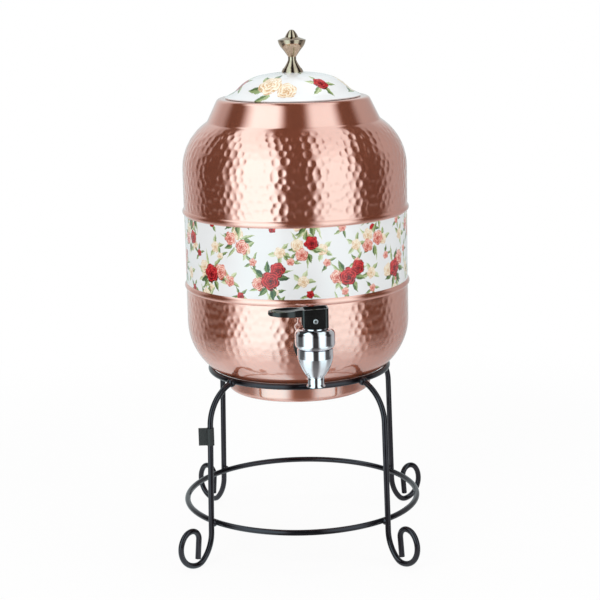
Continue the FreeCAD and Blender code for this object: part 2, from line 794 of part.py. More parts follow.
# Lever pin: a rivet with a rounded head and a small eye at each end
for side in (-1, 1):
    head = Part.makeCylinder(pin_head_radius, pin_head_height, V(0, side * lever_width / 2, 0), V(0, side, 0))
    outer_edge = [edge for edge in head.Edges if abs(edge.CenterOfMass.y) > lever_width / 2 + pin_head_height / 2]
    head = head.makeFillet(pin_head_height / 2, [edge for edge in outer_edge if isinstance(edge.Curve, Part.Circle)])
    dimple = Part.makeCylinder(pin_eye_radius, pin_eye_depth, V(0, side * (pin_length / 2 - pin_eye_depth), 0),
                               V(0, side, 0))
    pin = pin.fuse(head).cut(dimple)
pin.translate(V(0, 0, pin_level))
nodes["lever_pin"] = on_stem(pin.removeSplitter())


os.makedirs("parts", exist_ok=True)
for name, shape in nodes.items():
    shape.exportStep("parts/" + name + ".step")
    print(name, len(shape.Solids), round(shape.Volume, 1), shape.isValid())
print("foot base", round(foot_base, 2), "seams", round(lower_seam, 2), round(upper_seam, 2))
print("collar top", round(collar_top, 2), "crown", round(crown, 2), "knob top", round(cap_top + knob_tip_height, 2))
print("shank", round(shank_height, 2), "spout end", round(spout_end, 2), "pin", round(pin_level, 2))
print("lower ring radius", round(lower_ring_radius, 2), "foot at", round(leg_bottom.x, 2))
print("stem lift at full press", round(cam_lift * press, 2))
print("least gap between the spring's turns", round(spring_pitch - spring_wire, 2))
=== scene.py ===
# %% [markdown]
# # A copper water dispenser
# This lesson dresses a finished solid model of a drink dispenser: a hammered copper vessel with a
# printed enamel band, a printed lid with a turned knob, a chromed tap, and a stand of black rod.
# The solids carry the sizes and the joints. Blender adds what a solid model leaves out: hammer marks,
# the print, polish, brushing and light. Lengths in millimetres are turned to metres at the end of each
# mesh, because the frame works in metres with +Z up and the tap facing -Y.

# %% Tools for this lesson
import bpy
import json
import math
import numpy as np
from mathutils import Matrix, Vector


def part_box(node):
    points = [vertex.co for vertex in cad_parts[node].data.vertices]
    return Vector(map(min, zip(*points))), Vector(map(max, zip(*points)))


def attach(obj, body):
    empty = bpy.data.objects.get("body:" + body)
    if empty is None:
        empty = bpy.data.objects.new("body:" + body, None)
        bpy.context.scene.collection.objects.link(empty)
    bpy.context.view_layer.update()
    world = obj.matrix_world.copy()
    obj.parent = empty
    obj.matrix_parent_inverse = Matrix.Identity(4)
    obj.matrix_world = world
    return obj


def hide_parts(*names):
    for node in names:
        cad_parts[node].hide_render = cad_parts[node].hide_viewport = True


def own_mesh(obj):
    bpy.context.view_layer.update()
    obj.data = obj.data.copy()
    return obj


MILLIMETRE = 0.001


def new_object(name, data):
    """An object in the scene that shows a mesh, a lamp or a camera."""
    made = bpy.data.objects.new(name, data)
    bpy.context.scene.collection.objects.link(made)
    return made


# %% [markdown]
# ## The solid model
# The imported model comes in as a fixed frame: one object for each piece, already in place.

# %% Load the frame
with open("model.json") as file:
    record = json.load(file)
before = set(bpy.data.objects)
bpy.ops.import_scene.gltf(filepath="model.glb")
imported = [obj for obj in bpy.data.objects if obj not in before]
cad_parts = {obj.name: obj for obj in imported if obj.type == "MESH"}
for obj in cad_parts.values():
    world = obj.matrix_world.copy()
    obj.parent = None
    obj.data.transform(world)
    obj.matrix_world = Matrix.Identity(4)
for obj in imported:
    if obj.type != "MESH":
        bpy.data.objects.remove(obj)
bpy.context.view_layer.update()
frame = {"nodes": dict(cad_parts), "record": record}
pieces = frame["nodes"]

# %% [markdown]
# ## The camera
# A product picture like this is taken with a long lens from a little above, so that the rims stay
# flat ovals and the sides hardly lean. A heading, a downward tilt and a very small roll turn it.

# %% Place the camera
camera_place = Vector((-0.1553, -1.5029, 0.5442))
heading = math.radians(5.98)
tilt = -0.20736
roll = -0.02299
camera_data = bpy.data.cameras.new("product_camera")
camera_data.lens = 99.52
camera_data.sensor_width = 36.0
camera = new_object("product_camera", camera_data)
forward = Vector((
    math.sin(heading) * math.cos(tilt),
    math.cos(heading) * math.cos(tilt),
    math.sin(tilt),
))
level_right = Vector((math.cos(heading), -math.sin(heading), 0.0))
level_up = level_right.cross(forward)
right = math.cos(roll) * level_right + math.sin(roll) * level_up
up = math.cos(roll) * level_up - math.sin(roll) * level_right
turned = Matrix((right, up, -forward)).transposed().to_4x4()
camera.matrix_world = Matrix.Translation(camera_place) @ turned
bpy.context.scene.camera = camera
bpy.context.scene.view_settings.view_transform = "Standard"
print("camera looks along", [round(part, 3) for part in forward])

# %% [markdown]
# ## Small helpers for materials
# A material is a little network of nodes. One helper makes a node, fills its inputs and joins it to the
# others. The rest are short names for nodes that the patterns need by the dozen: sums, noise, bumps.

# %% Helpers that build node networks
def add(tree, kind, inputs=None, **settings):
    """Adds a node, sets it up, and fills each input with a value or with another node's output."""
    made = tree.nodes.new(kind)
    for name, value in settings.items():
        setattr(made, name, value)
    for key, value in (inputs or {}).items():
        if isinstance(value, bpy.types.NodeSocket):
            tree.links.new(value, made.inputs[key])
        else:
            made.inputs[key].default_value = value
    return made


def calc(tree, operation, *values):
    """The result of one sum on numbers or outputs."""
    return add(tree, "ShaderNodeMath", dict(enumerate(values)), operation=operation).outputs[0]


def times(tree, one, other):
    return calc(tree, "MULTIPLY", one, other)


def times_plus(tree, one, other, more):
    return calc(tree, "MULTIPLY_ADD", one, other, more)


def minus(tree, whole, part):
    return calc(tree, "SUBTRACT", whole, part)


def vector_calc(tree, operation, *values):
    """The result of one sum on vectors."""
    return add(tree, "ShaderNodeVectorMath", dict(enumerate(values)), operation=operation).outputs[0]


def scaled(tree, vector, scale):
    """A vector or colour times a number."""
    return add(tree, "ShaderNodeVectorMath", {0: vector, "Scale": scale}, operation="SCALE").outputs[0]


def length_of(tree, vector):
    """How long a vector is."""
    return add(tree, "ShaderNodeVectorMath", {0: vector}, operation="LENGTH").outputs["Value"]


def split(tree, vector):
    """The three parts of a vector."""
    return add(tree, "ShaderNodeSeparateXYZ", {0: vector}).outputs


def joined(tree, *parts):
    """A vector made of two or three numbers."""
    return add(tree, "ShaderNodeCombineXYZ", dict(enumerate(parts))).outputs[0]


def blended(tree, share, under, over):
    """A colour between two others."""
    return add(tree, "ShaderNodeMix", {0: share, 6: under, 7: over}, data_type="RGBA").outputs[2]


def ramp(tree, value, stops, interpolation="LINEAR"):
    """A colour read off a list of (place, colour) stops."""
    made = add(tree, "ShaderNodeValToRGB", {0: value})
    made.color_ramp.interpolation = interpolation
    elements = made.color_ramp.elements
    while len(elements) < len(stops):
        elements.new(1.0)
    for element, (place, colour) in zip(elements, stops):
        element.position = place
        element.color = colour
    return made.outputs[0]


def mottled(tree, pattern, low, high):
    """A tint that wanders between two colours as a pattern does."""
    return ramp(tree, pattern, [(0.3, low), (0.7, high)])


def eased(tree, value, low, high):
    """0 below one value, 1 above another, and a soft step between them."""
    inputs = {"Value": value, "From Min": low, "From Max": high}
    return add(tree, "ShaderNodeMapRange", inputs, interpolation_type="SMOOTHSTEP").outputs[0]


def own_place(tree):
    """The place on a piece, in metres and in the frame of the solid model."""
    return add(tree, "ShaderNodeTexCoord").outputs["Object"]


def noise(tree, place, scale, detail):
    """A cloudy pattern; the scale is about the number of its clouds in a metre."""
    return add(tree, "ShaderNodeTexNoise", {"Vector": place, "Scale": scale, "Detail": detail}).outputs[0]


def bump(tree, height, strength, distance, under=None):
    """A slight relief that follows a pattern, laid over another relief where one is given."""
    inputs = {"Height": height, "Strength": strength, "Distance": distance}
    if under is not None:
        inputs["Normal"] = under
    return add(tree, "ShaderNodeBump", inputs).outputs[0]


def finish_of(name):
    """A new material with no nodes yet, and its node tree."""
    material = bpy.data.materials.new(name)
    material.use_nodes = True
    material.node_tree.nodes.clear()
    return material, material.node_tree


def show(tree, kind, inputs):
    """Adds a shader and joins it to the material's output."""
    shader = add(tree, kind, inputs)
    add(tree, "ShaderNodeOutputMaterial", {"Surface": shader.outputs[0]})


def finish_nodes(material, *names):
    """Gives pieces of the solid model a material."""
    for name in names:
        for place in pieces[name].material_slots:
            place.material = material


def grey(level):
    return (level, level, level, 1.0)


WHITE = grey(1.0)

# %% [markdown]
# ## The studio
# Polished metal tints what it shows, and it shows the room. A vessel like this is lit by tall soft boxes
# with dark gaps between them, in front of a white sheet, and each dark gap becomes a dark band down the
# copper. The room is written as brightness by compass direction round the vessel, so it stays where it
# is when the view changes. Overhead the boxes lean in and are dimmer, and the floor below has a softer
# pattern of its own, so the bands bend over the shoulder and fade towards the bowl. A bright lamp looks
# whiter than its tint in a metal, so the light turns a little cooler as it grows. Matt surfaces are lit
# softly and evenly: their rays meet a plain pale room.

# %% The room that the metal reflects
LEFT_BOX = 1.0
RIGHT_BOX = 0.76
BACKDROP = 0.38
LEFT_WALL = 0.22
RIGHT_WALL = 0.23
DARK = 0.012
PALE_ROOM = grey(0.56)
room_stops = [
    (-180, BACKDROP), (-152, BACKDROP), (-122, LEFT_WALL), (-104, DARK), (-80, DARK),
    (-51, LEFT_BOX), (-24, LEFT_BOX), (-8, DARK), (14, DARK),
    (31, RIGHT_BOX), (54, RIGHT_BOX), (73, DARK), (94, DARK),
    (116, RIGHT_WALL), (142, LEFT_WALL), (180, BACKDROP),
]
floor_stops = [
    (-180, 0.42), (-120, 0.42), (-84, 0.36), (-60, 0.56), (-28, 0.56), (-6, 0.10), (11, 0.10),
    (34, 0.39), (54, 0.39), (74, 0.27), (110, 0.26), (180, 0.38),
]
SOFT_BOX_LEVEL = 2.0
COOLING = (-0.165, -0.01, 0.01)
LEAN_STARTS = 0.45
LEAN = 1.2
OVERHEAD_LOSS = 0.5
FLOOR_STARTS = 0.19
FLOOR_SPAN = 0.65
FLOOR_RISE = 0.8


def by_heading(tree, way, stops):
    """Light by compass heading, read off a list of (degrees, level) whose ends meet behind the vessel.
    Boxes and gaps lean in overhead, where they are dimmer. The brighter a spot, the cooler its white."""
    parts = split(tree, way)
    climb = calc(tree, "MAXIMUM", minus(tree, parts[2], LEAN_STARTS), 0.0)
    lean = times(tree, climb, times_plus(tree, parts[1], LEAN, LEAN))
    compass = calc(tree, "ARCTAN2", parts[0], minus(tree, lean, parts[1]))
    compass = calc(tree, "FLOORED_MODULO", calc(tree, "ADD", compass, heading + math.pi), math.tau)
    compass = calc(tree, "DIVIDE", compass, math.tau)
    stops = [((degrees + 180.0) / 360.0, grey(level)) for degrees, level in stops]
    level = times_plus(tree, climb, -OVERHEAD_LOSS * SOFT_BOX_LEVEL, SOFT_BOX_LEVEL)
    light = scaled(tree, ramp(tree, compass, stops, "EASE"), level)
    cooler = vector_calc(tree, "MULTIPLY_ADD", light, COOLING, (1, 1, 1))
    return vector_calc(tree, "MULTIPLY", light, cooler)


def low_and_high(tree, way, slope):
    """The room's light, passing into the floor's own softer pattern where a mirrored ray slopes down."""
    share = calc(tree, "DIVIDE", minus(tree, slope, FLOOR_STARTS), FLOOR_SPAN)
    share = calc(tree, "MINIMUM", calc(tree, "MAXIMUM", share, 0.0), 1.0)
    share = calc(tree, "POWER", share, FLOOR_RISE)
    return blended(tree, share, by_heading(tree, way, room_stops), by_heading(tree, way, floor_stops))


def kinds_of_ray(tree):
    """Two switches: for rays by which the camera sees a thing itself, and for rays off a mirror."""
    rays = add(tree, "ShaderNodeLightPath").outputs
    return calc(tree, "MAXIMUM", rays["Is Camera Ray"], rays["Is Transmission Ray"]), rays["Is Glossy Ray"]


world = bpy.data.worlds.new("studio")
world.use_nodes = True
bpy.context.scene.world = world
room = world.node_tree
room.nodes.clear()
way = add(room, "ShaderNodeTexCoord").outputs["Generated"]
downward = times(room, split(room, way)[2], -1.0)
seen, mirrored = kinds_of_ray(room)
pale = blended(room, mirrored, PALE_ROOM, low_and_high(room, way, downward))
shown = blended(room, seen, pale, WHITE)
background = add(room, "ShaderNodeBackground", {"Color": shown, "Strength": 1.0})
add(room, "ShaderNodeOutputWorld", {"Surface": background.outputs[0]})
print("room made of", len(room_stops), "directions")

# %% [markdown]
# Three large soft lamps shape the matt pieces, such as the enamel and the rubber. They are left out of
# reflections, where the room stands for them. Each has a place, a size and a power.

# %% Soft lamps
VESSEL_MIDDLE = Vector((0.0, 0.0, 0.28))
lamps = {
    "key_lamp": ((-1.3, -1.5, 1.3), 1.2, 21.0),
    "fill_lamp": ((1.6, -1.1, 0.9), 1.2, 11.5),
    "top_lamp": ((0.1, 0.2, 1.9), 1.4, 9.0),
}
for name, (place, size, power) in lamps.items():
    data = bpy.data.lights.new(name, "AREA")
    data.size = size
    data.energy = power
    lamp = new_object(name, data)
    lamp.location = place
    lamp.rotation_euler = (VESSEL_MIDDLE - Vector(place)).to_track_quat("-Z", "Y").to_euler()
    lamp.visible_glossy = False
print("soft lamps", len(lamps))

# %% [markdown]
# The floor is a plain white sheet that takes the vessel's soft shadow. In the copper a lit sheet would
# show a hard horizon, so the mirrored floor carries on the room's own pattern: near the vessel the
# floor's, and towards the rim the walls'. To the camera the sheet glows almost white, and wholly so at
# its rim, where it meets the white room.

# %% The floor
FLOOR_RADIUS = 0.85
FLOOR_SIDES = 96
GLOW_SPREADS_FROM = FLOOR_RADIUS * 0.5
GLOW_FULL_FROM = FLOOR_RADIUS * 0.95
NEAR_GLOW = 0.92
PAPER = grey(0.86)
BOWL_HEIGHT = 0.20
bpy.ops.mesh.primitive_circle_add(vertices=FLOOR_SIDES, radius=FLOOR_RADIUS, fill_type="NGON")
floor = bpy.context.object
floor.name = "studio_floor"
floor_paint, tree = finish_of("floor_paint")
place = own_place(tree)
reach = length_of(tree, place)
toward_rim = eased(tree, reach, GLOW_SPREADS_FROM, GLOW_FULL_FROM)
matt = add(tree, "ShaderNodeBsdfDiffuse", {"Color": PAPER}).outputs[0]
glow = add(tree, "ShaderNodeEmission", {"Color": WHITE, "Strength": 1.0}).outputs[0]
seen, mirrored = kinds_of_ray(tree)
share = times(tree, seen, times_plus(tree, toward_rim, 1.0 - NEAR_GLOW, NEAR_GLOW))
lit_floor = low_and_high(tree, place, calc(tree, "DIVIDE", BOWL_HEIGHT, reach))
reflection = add(tree, "ShaderNodeEmission", {"Color": lit_floor, "Strength": 1.0}).outputs[0]
surface = add(tree, "ShaderNodeMixShader", {0: share, 1: matt, 2: glow}).outputs[0]
show(tree, "ShaderNodeMixShader", {0: mirrored, 1: surface, 2: reflection})
floor.data.materials.append(floor_paint)
print("floor radius in m", FLOOR_RADIUS)

# %% [markdown]
# ## Turned sheets
# The vessel is sheet copper, pressed and spun on a lathe, so each shell is one outline turned about the
# axis. The outline is drawn as short steps, each with its place, the way out of the sheet, and its
# distance along it, which keeps hammer marks as far apart on the shoulder as on the straight wall.

# %% Outlines of turned pieces
SHEET = 1.2
SHARP_DEGREES = 35


class Outline:
    """Points along a sheet's outer face, as radius and height, with the way out of the sheet."""

    def __init__(self):
        self.points = []
        self.outward = []

    def line(self, start, end, steps, last=False):
        start = np.array(start, float)
        end = np.array(end, float)
        along = (end - start) / np.linalg.norm(end - start)
        for step in range(steps + last):
            self.points.append(start + (end - start) * step / steps)
            self.outward.append(np.array((along[1], -along[0])))

    def arc(self, centre, radius, start, end, steps):
        side = 1.0 if end > start else -1.0
        for step in range(steps):
            angle = math.radians(start + (end - start) * step / steps)
            ray = np.array((math.cos(angle), math.sin(angle)))
            self.points.append(np.array(centre, float) + ray * radius)
            self.outward.append(ray * side)

    def along(self):
        """The distance of each point from the first, along the sheet."""
        gaps = np.linalg.norm(np.diff(self.points, axis=0), axis=1)
        return np.concatenate(((0.0,), np.cumsum(gaps)))


def turned_mesh(name, rings, closed):
    """Joins rings of points, each one row of (x, y, z), to a mesh. A closed one joins its last ring to
    its first."""
    rows, segments = rings.shape[:2]
    next_row = np.arange(1, rows + 1) % rows
    faces = []
    for row in range(rows if closed else rows - 1):
        here = row * segments + np.arange(segments)
        there = next_row[row] * segments + np.arange(segments)
        faces.append(np.stack((here, np.roll(here, -1), np.roll(there, -1), there), axis=1))
    mesh = bpy.data.meshes.new(name)
    mesh.from_pydata((rings.reshape(-1, 3) * MILLIMETRE).tolist(), [], np.concatenate(faces).tolist())
    return new_object(name, mesh)


def tidy_surface(piece):
    """Smooth shading, with edges kept crisp where faces meet at a sharp angle."""
    piece.data.validate()
    piece.data.shade_smooth()
    piece.data.set_sharp_from_angle(angle=math.radians(SHARP_DEGREES))
    print(piece.name, "triangles", sum(len(face.vertices) - 2 for face in piece.data.polygons))


# %% [markdown]
# ## Hammer marks
# A maker closes the surface of the copper with overlapping taps of a ball hammer. Each tap leaves a
# shallow round dish, and neighbouring dishes meet in soft ridges. A bump in the material would leave
# the outline smooth, so they are pressed into the mesh: rows of dishes, each row shifted by about half a
# dish, every dish a little off its place and a little deeper or shallower than the next.

# %% Press hammer marks into a sheet
MARK_SPACING = 7.5
MARK_RADIUS = 3.7
MARK_DEPTH = 0.31
MARK_SLIP = 0.17
MARK_WEIGHTS = (0.70, 1.12)
MARK_SIZES = (0.88, 1.08)
ROW_GAP = MARK_SPACING * 0.97
ROW_SLIP = 0.08
ROW_WANDER = 1.6
ROW_WAVES = 17
ROW_PHASE = 2.4
FARTHEST = MARK_RADIUS + ROW_WANDER + MARK_SPACING * 0.2
SEGMENTS = 640
INNER_STRIDE = 8
round_angles = np.arange(SEGMENTS) * math.tau / SEGMENTS


def mark_depths(radius, along, strength, seed):
    """How deep the marks go at each step of the outline and each angle round it."""
    chance = np.random.default_rng(seed)
    depths = np.zeros((len(radius), SEGMENTS))
    for row in range(int(along[-1] / ROW_GAP) + 2):
        row_along = row * ROW_GAP
        row_radius = np.interp(row_along, along, radius)
        count = max(3, round(math.tau * row_radius / MARK_SPACING))
        shift = row * 0.5 + chance.uniform(-ROW_SLIP, ROW_SLIP)
        slip = chance.uniform(-MARK_SLIP, MARK_SLIP, (2, count)) * MARK_SPACING
        slip[1] += ROW_WANDER * np.sin(np.arange(count) * ROW_WAVES / count * math.tau + row * ROW_PHASE)
        weight = chance.uniform(*MARK_WEIGHTS, count)
        size = MARK_RADIUS * chance.uniform(*MARK_SIZES, count)
        near = np.nonzero(abs(along - row_along) < FARTHEST)[0]
        place = round_angles / math.tau * count - shift
        for side in (-1, 0, 1):
            mark = (np.round(place) + side).astype(int)
            which = mark % count
            aside = (mark - place)[None, :] * math.tau * radius[near][:, None] / count + slip[0, which]
            above = row_along - along[near][:, None] + slip[1, which]
            reach = 1 - (aside ** 2 + above ** 2) / size[which] ** 2
            dish = weight[which] * np.clip(reach, 0, None)
            depths[near] = np.maximum(depths[near], dish)
    return depths * MARK_DEPTH * strength[:, None]


def plain_rings(points):
    """Rings without marks, one for each (radius, height)."""
    return [np.tile(np.array(point, float), (SEGMENTS, 1)) for point in points]


def hammered_shell(name, outline, strength, rim, seam, seed):
    """A shell whose outer face, and its inner face a sheet's thickness in, carry the same marks.
    rim and seam are plain points that lead from the outer face to the inner one and back."""
    points = np.array(outline.points)
    outward = np.array(outline.outward)
    depths = mark_depths(points[:, 0], outline.along(), strength, seed)
    rings = []
    for row, depth in enumerate(depths):
        rings.append(points[row] - outward[row] * depth[:, None])
    rings += plain_rings(rim)
    for row in range(len(points) - 1, -1, -INNER_STRIDE):
        rings.append(points[row] - outward[row] * (depths[row][:, None] + SHEET))
    rings += plain_rings(seam)
    rings = np.array(rings)
    around = np.stack((
        rings[:, :, 0] * np.cos(round_angles),
        rings[:, :, 0] * np.sin(round_angles),
        rings[:, :, 1],
    ), axis=2)
    return turned_mesh(name, around, bool(seam))


# %% [markdown]
# ## The upper shell
# The wall rises from a rolled bead, turns over a round shoulder, meets the collar in a small hollow,
# and its edge is turned down into the mouth. Only the wall and the shoulder are hammered, so the marks
# fade out just before the bead and the collar.

# %% Sizes of the vessel, and helpers for its corners
BODY_RADIUS = 102.6
BAND_RADIUS = 102.4
BEAD_DEPTH = 1.6
BEAD_LAP = 2.9
BEAD_STARTS = -0.875
BEAD_POINTS = 16
WALL_ABOVE_BAND = 37.5
SHOULDER_RADIUS = 51.3
COLLAR_RADIUS = 68.8
COLLAR_ANGLE = math.radians(26.0)
MOUTH_RADIUS = 56.0
inner_wall = BODY_RADIUS - SHEET
band_low, band_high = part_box("band_shell")
lower_seam = band_low.z / MILLIMETRE
upper_seam = band_high.z / MILLIMETRE
collar_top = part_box("upper_shell")[1].z / MILLIMETRE
shoulder_base = upper_seam + WALL_ABOVE_BAND


def fade(values, start, end):
    """0 at the start value, 1 at the end value, with an even slope between them."""
    return np.clip((values - start) / (end - start), 0, 1)


def bead_points(seam, side):
    """The half-round bead, from the shell's own wall to the edge that laps over the band."""
    points = []
    for share in np.linspace(BEAD_STARTS, 1, BEAD_POINTS):
        flat = BODY_RADIUS + (BAND_RADIUS - BODY_RADIUS) * (share + 1) / 2
        points.append((flat + BEAD_DEPTH * (1 - share ** 2), seam - side * share * BEAD_LAP))
    return points


def corner_arc(corner, before, after, radius):
    """The arc that rounds a corner between two directions: its two ends, centre, and angles."""
    turn = math.acos(float(np.dot(before, after)))
    reach = radius * math.tan(turn / 2)
    side = 1 if before[0] * after[1] > before[1] * after[0] else -1
    square = np.array((-before[1], before[0])) * side
    start = corner - np.array(before) * reach
    first = math.degrees(math.atan2(-square[1], -square[0]))
    last = first + side * math.degrees(turn)
    return start, corner + np.array(after) * reach, start + square * radius, first, last


print("seams at", round(lower_seam, 1), round(upper_seam, 1), "collar's top at", round(collar_top, 1))

# %% Draw the upper shell's outline
FOOT_FILLET = 4.0
TOP_FILLET = 4.5
TOP_GAP = 0.1
up_collar = np.array((-math.sin(COLLAR_ANGLE), math.cos(COLLAR_ANGLE)))
shoulder_centre = np.array((BODY_RADIUS - SHOULDER_RADIUS, shoulder_base))
collar_edge = np.array((COLLAR_RADIUS, collar_top))
from_shoulder = collar_edge - shoulder_centre
nearest = float(from_shoulder @ up_collar)
squared = nearest ** 2 - float(from_shoulder @ from_shoulder) + SHOULDER_RADIUS ** 2
slope_length = nearest - math.sqrt(squared)
collar_foot = collar_edge - up_collar * slope_length
rise = math.atan2(collar_foot[1] - shoulder_base, collar_foot[0] - shoulder_centre[0])
over_shoulder = np.array((-math.sin(rise), math.cos(rise)))
foot_start, foot_end, foot_centre, foot_first, foot_last = corner_arc(
    collar_foot, over_shoulder, up_collar, FOOT_FILLET)
top_start, top_end, top_centre, top_first, top_last = corner_arc(
    collar_edge, up_collar, np.array((-1.0, 0.0)), TOP_FILLET)
fillet_turn = math.degrees(np.linalg.norm(collar_foot - foot_start) / SHOULDER_RADIUS)
shoulder_turn = math.degrees(rise) - fillet_turn
upper_outline = Outline()
upper_outline.line((BODY_RADIUS, upper_seam + BEAD_LAP), (BODY_RADIUS, shoulder_base), steps=34)
upper_outline.arc(shoulder_centre, SHOULDER_RADIUS, 0, shoulder_turn, steps=60)
upper_outline.arc(foot_centre, FOOT_FILLET, foot_first, foot_last, steps=5)
upper_outline.line(foot_end, top_start, steps=5)
upper_outline.arc(top_centre, TOP_FILLET, top_first, top_last, steps=8)
upper_outline.line(top_end, (MOUTH_RADIUS + SHEET + TOP_GAP, collar_top), steps=4, last=True)
print("collar foot", np.round(collar_foot, 1), "rise", round(math.degrees(rise), 1))

# %% Build the upper shell
BEAD_CLEAR = 3.0
BEAD_FADED = 5.5
COLLAR_CLEAR = 1.0
COLLAR_FADED = 8.0
EDGE_ROUND = 0.8
EDGE_MIDDLE = 0.25
EDGE_DEPTH = 6.0
heights = np.array(upper_outline.points)[:, 1]
marked = fade(heights, upper_seam + BEAD_CLEAR, upper_seam + BEAD_FADED)
marked = marked * fade(heights, foot_start[1] - COLLAR_CLEAR, foot_start[1] - COLLAR_FADED)
mouth_edge = [
    (MOUTH_RADIUS + EDGE_ROUND, collar_top),
    (MOUTH_RADIUS + EDGE_MIDDLE, collar_top - EDGE_MIDDLE),
    (MOUTH_RADIUS, collar_top - EDGE_ROUND),
    (MOUTH_RADIUS, collar_top - EDGE_DEPTH),
    (MOUTH_RADIUS + SHEET, collar_top - EDGE_DEPTH),
]
seam_edge = [(inner_wall, upper_seam), (BAND_RADIUS, upper_seam)] + bead_points(upper_seam, 1)[::-1]
upper_shell = hammered_shell("hammered_upper_shell", upper_outline, marked, mouth_edge, seam_edge, 11)
tidy_surface(upper_shell)
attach(upper_shell, "vessel")
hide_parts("upper_shell")

# %% [markdown]
# ## The lower shell
# The bowl is hammered too, down to a little above the ring that it rests in. The tap's shank passes
# through the wall, so a round hole is cut where the solid has one.

# %% Build the lower shell
BOWL_RADIUS = 55.0
BOWL_MARKS_FADED = 14.0
BOWL_CLEAR = 36.0
BOWL_STRENGTH = 0.85
MERGED_WITHIN = 0.00001
SHANK_HOLE_RADIUS = 8.3
SHANK_HOLE_SIDES = 64
DRILL_LENGTH = 0.04
vessel_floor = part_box("lower_shell")[0].z / MILLIMETRE
bowl_top = vessel_floor + BOWL_RADIUS
bowl_axis = BODY_RADIUS - BOWL_RADIUS
lower_outline = Outline()
lower_outline.line((0.0, vessel_floor), (bowl_axis, vessel_floor), steps=12)
lower_outline.arc((bowl_axis, bowl_top), BOWL_RADIUS, -90, -45, steps=14)
lower_outline.arc((bowl_axis, bowl_top), BOWL_RADIUS, -45, 0, steps=40)
lower_outline.line((BODY_RADIUS, bowl_top), (BODY_RADIUS, lower_seam - BEAD_LAP), steps=29, last=True)
heights = np.array(lower_outline.points)[:, 1]
marked = fade(heights, lower_seam - BEAD_CLEAR, lower_seam - BEAD_FADED)
marked = marked * fade(heights, bowl_top - BOWL_CLEAR, bowl_top - BOWL_MARKS_FADED) * BOWL_STRENGTH
band_edge = bead_points(lower_seam, -1) + [(BAND_RADIUS, lower_seam), (inner_wall, lower_seam)]
lower_shell = hammered_shell("hammered_lower_shell", lower_outline, marked, band_edge, [], 23)
bpy.context.view_layer.objects.active = lower_shell
lower_shell.select_set(True)
bpy.ops.object.mode_set(mode="EDIT")
bpy.ops.mesh.select_all(action="SELECT")
bpy.ops.mesh.remove_doubles(threshold=MERGED_WITHIN)
bpy.ops.mesh.normals_make_consistent(inside=False)
bpy.ops.object.mode_set(mode="OBJECT")
shank_low, shank_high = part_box("outer_gasket")
bpy.ops.mesh.primitive_cylinder_add(
    vertices=SHANK_HOLE_SIDES,
    radius=SHANK_HOLE_RADIUS * MILLIMETRE,
    depth=DRILL_LENGTH,
    location=(0, -BODY_RADIUS * MILLIMETRE, (shank_low.z + shank_high.z) / 2),
    rotation=(math.pi / 2, 0, 0),
)
drill = bpy.context.object
hole = lower_shell.modifiers.new("shank_hole", "BOOLEAN")
hole.object = drill
hole.solver = "EXACT"
bpy.context.view_layer.objects.active = lower_shell
bpy.ops.object.modifier_apply(modifier=hole.name)
bpy.data.objects.remove(drill)
tidy_surface(lower_shell)
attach(lower_shell, "vessel")
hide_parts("lower_shell")

# %% [markdown]
# ## Copper
# Raw copper is a warm pink-brown mirror under a satin skin. The skin comes from fine turning lines, which
# run round the vessel, and from a little unevenness of the polish. Both go into the roughness, and the
# lines make a faint bump too. The colour drifts slightly over a hand's width. A polisher's wheel reaches
# the wall better than the curve under it, so the bowl is duller. The pale gleam of copper at a glancing
# angle comes from a strong coat over a metal that is not quite full, which keeps the deep places brown
# and the bright ones nearly white.

# %% Make the copper
POLISH_STARTS = vessel_floor * MILLIMETRE
POLISH_FULL = (lower_seam + 10.0) * MILLIMETRE
LATHE_STRETCH = (6.0, 6.0, 900.0)
SMOOTHEST = 0.06
SMUDGE_DULLNESS = 0.09
LINE_DULLNESS = 0.07
BOWL_DULLNESS = 0.22
copper, tree = finish_of("copper")
place = own_place(tree)
lathe_lines = noise(tree, vector_calc(tree, "MULTIPLY", place, LATHE_STRETCH), 1.0, 3.0)
smudges = noise(tree, place, 70.0, 4.0)
tone = mottled(tree, noise(tree, place, 14.0, 3.0), (0.84, 0.21, 0.10, 1), (0.88, 0.245, 0.12, 1))
satin = times_plus(tree, smudges, SMUDGE_DULLNESS, SMOOTHEST)
satin = times_plus(tree, lathe_lines, LINE_DULLNESS, satin)
polish = eased(tree, split(tree, place)[2], POLISH_STARTS, POLISH_FULL)
satin = times_plus(tree, minus(tree, 1.0, polish), BOWL_DULLNESS, satin)
show(tree, "ShaderNodeBsdfPrincipled", {
    "Base Color": tone, "Roughness": satin, "Metallic": 0.76,
    "Normal": bump(tree, lathe_lines, 0.06, 0.0004),
    "Coat Weight": 1.0, "Coat Roughness": 0.10, "Coat IOR": 3.9,
})
for shell in (upper_shell, lower_shell):
    shell.data.materials.append(copper)
finish_nodes(copper, "foot_ring")
print("copper on", upper_shell.name, lower_shell.name, "foot_ring")

# %% [markdown]
# ## The printed enamel
# The band and the lid are white enamel with printed posies of roses. An image would be the quick way, but
# a print can also be drawn by sums, and then it stays sharp at any size. The surface is first laid flat:
# distance round the vessel across, height up. It is cut into cells like the blocks of a hand printer.
# Each cell holds one posy, nudged and turned by chance. Sums that are needed again and again are kept in
# node groups, which are to nodes what functions are to code.

# %% Helpers for groups of nodes
FLOAT = "NodeSocketFloat"
VECTOR = "NodeSocketVector"
COLOUR = "NodeSocketColor"


def new_group(name, inputs, outputs):
    """A node group, and the outputs of the node that hands its inputs in, by name."""
    tree = bpy.data.node_groups.new(name, "ShaderNodeTree")
    for label, kind in inputs.items():
        tree.interface.new_socket(label, in_out="INPUT", socket_type=kind)
    for label, kind in outputs.items():
        tree.interface.new_socket(label, in_out="OUTPUT", socket_type=kind)
    return tree, add(tree, "NodeGroupInput").outputs


